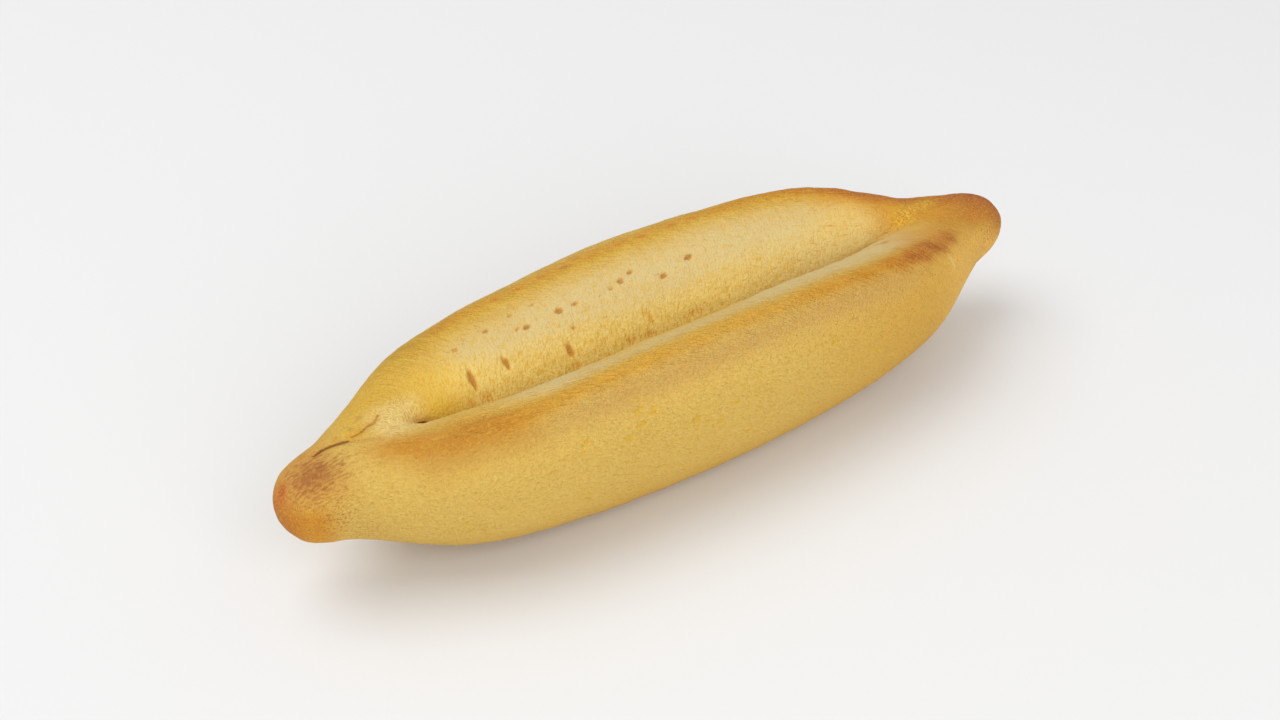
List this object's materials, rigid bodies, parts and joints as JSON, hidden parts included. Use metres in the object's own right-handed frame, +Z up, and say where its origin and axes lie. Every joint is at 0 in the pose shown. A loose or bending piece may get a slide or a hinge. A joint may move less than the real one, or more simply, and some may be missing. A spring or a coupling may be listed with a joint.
{
  "type": "boat-shaped biscuit",
  "caption": "Boat-shaped baked biscuit: a long roll pinched to a blunt nub at each end and split lengthwise into two rounded lobes.",
  "frame": {"origin": "middle of the biscuit's length and width, on the surface it rests on", "axes": "+X along the biscuit, +Y across it towards the fuller roll, +Z up"},
  "size_m": [0.09, 0.0288, 0.0181],
  "materials": {
    "baked_crust": "matte golden crust, browned at the nubs and along the ridges, pale in the slit"
  },
  "bodies": {
    "root": {"biscuit": "baked_crust"}
  },
  "joints": []
}
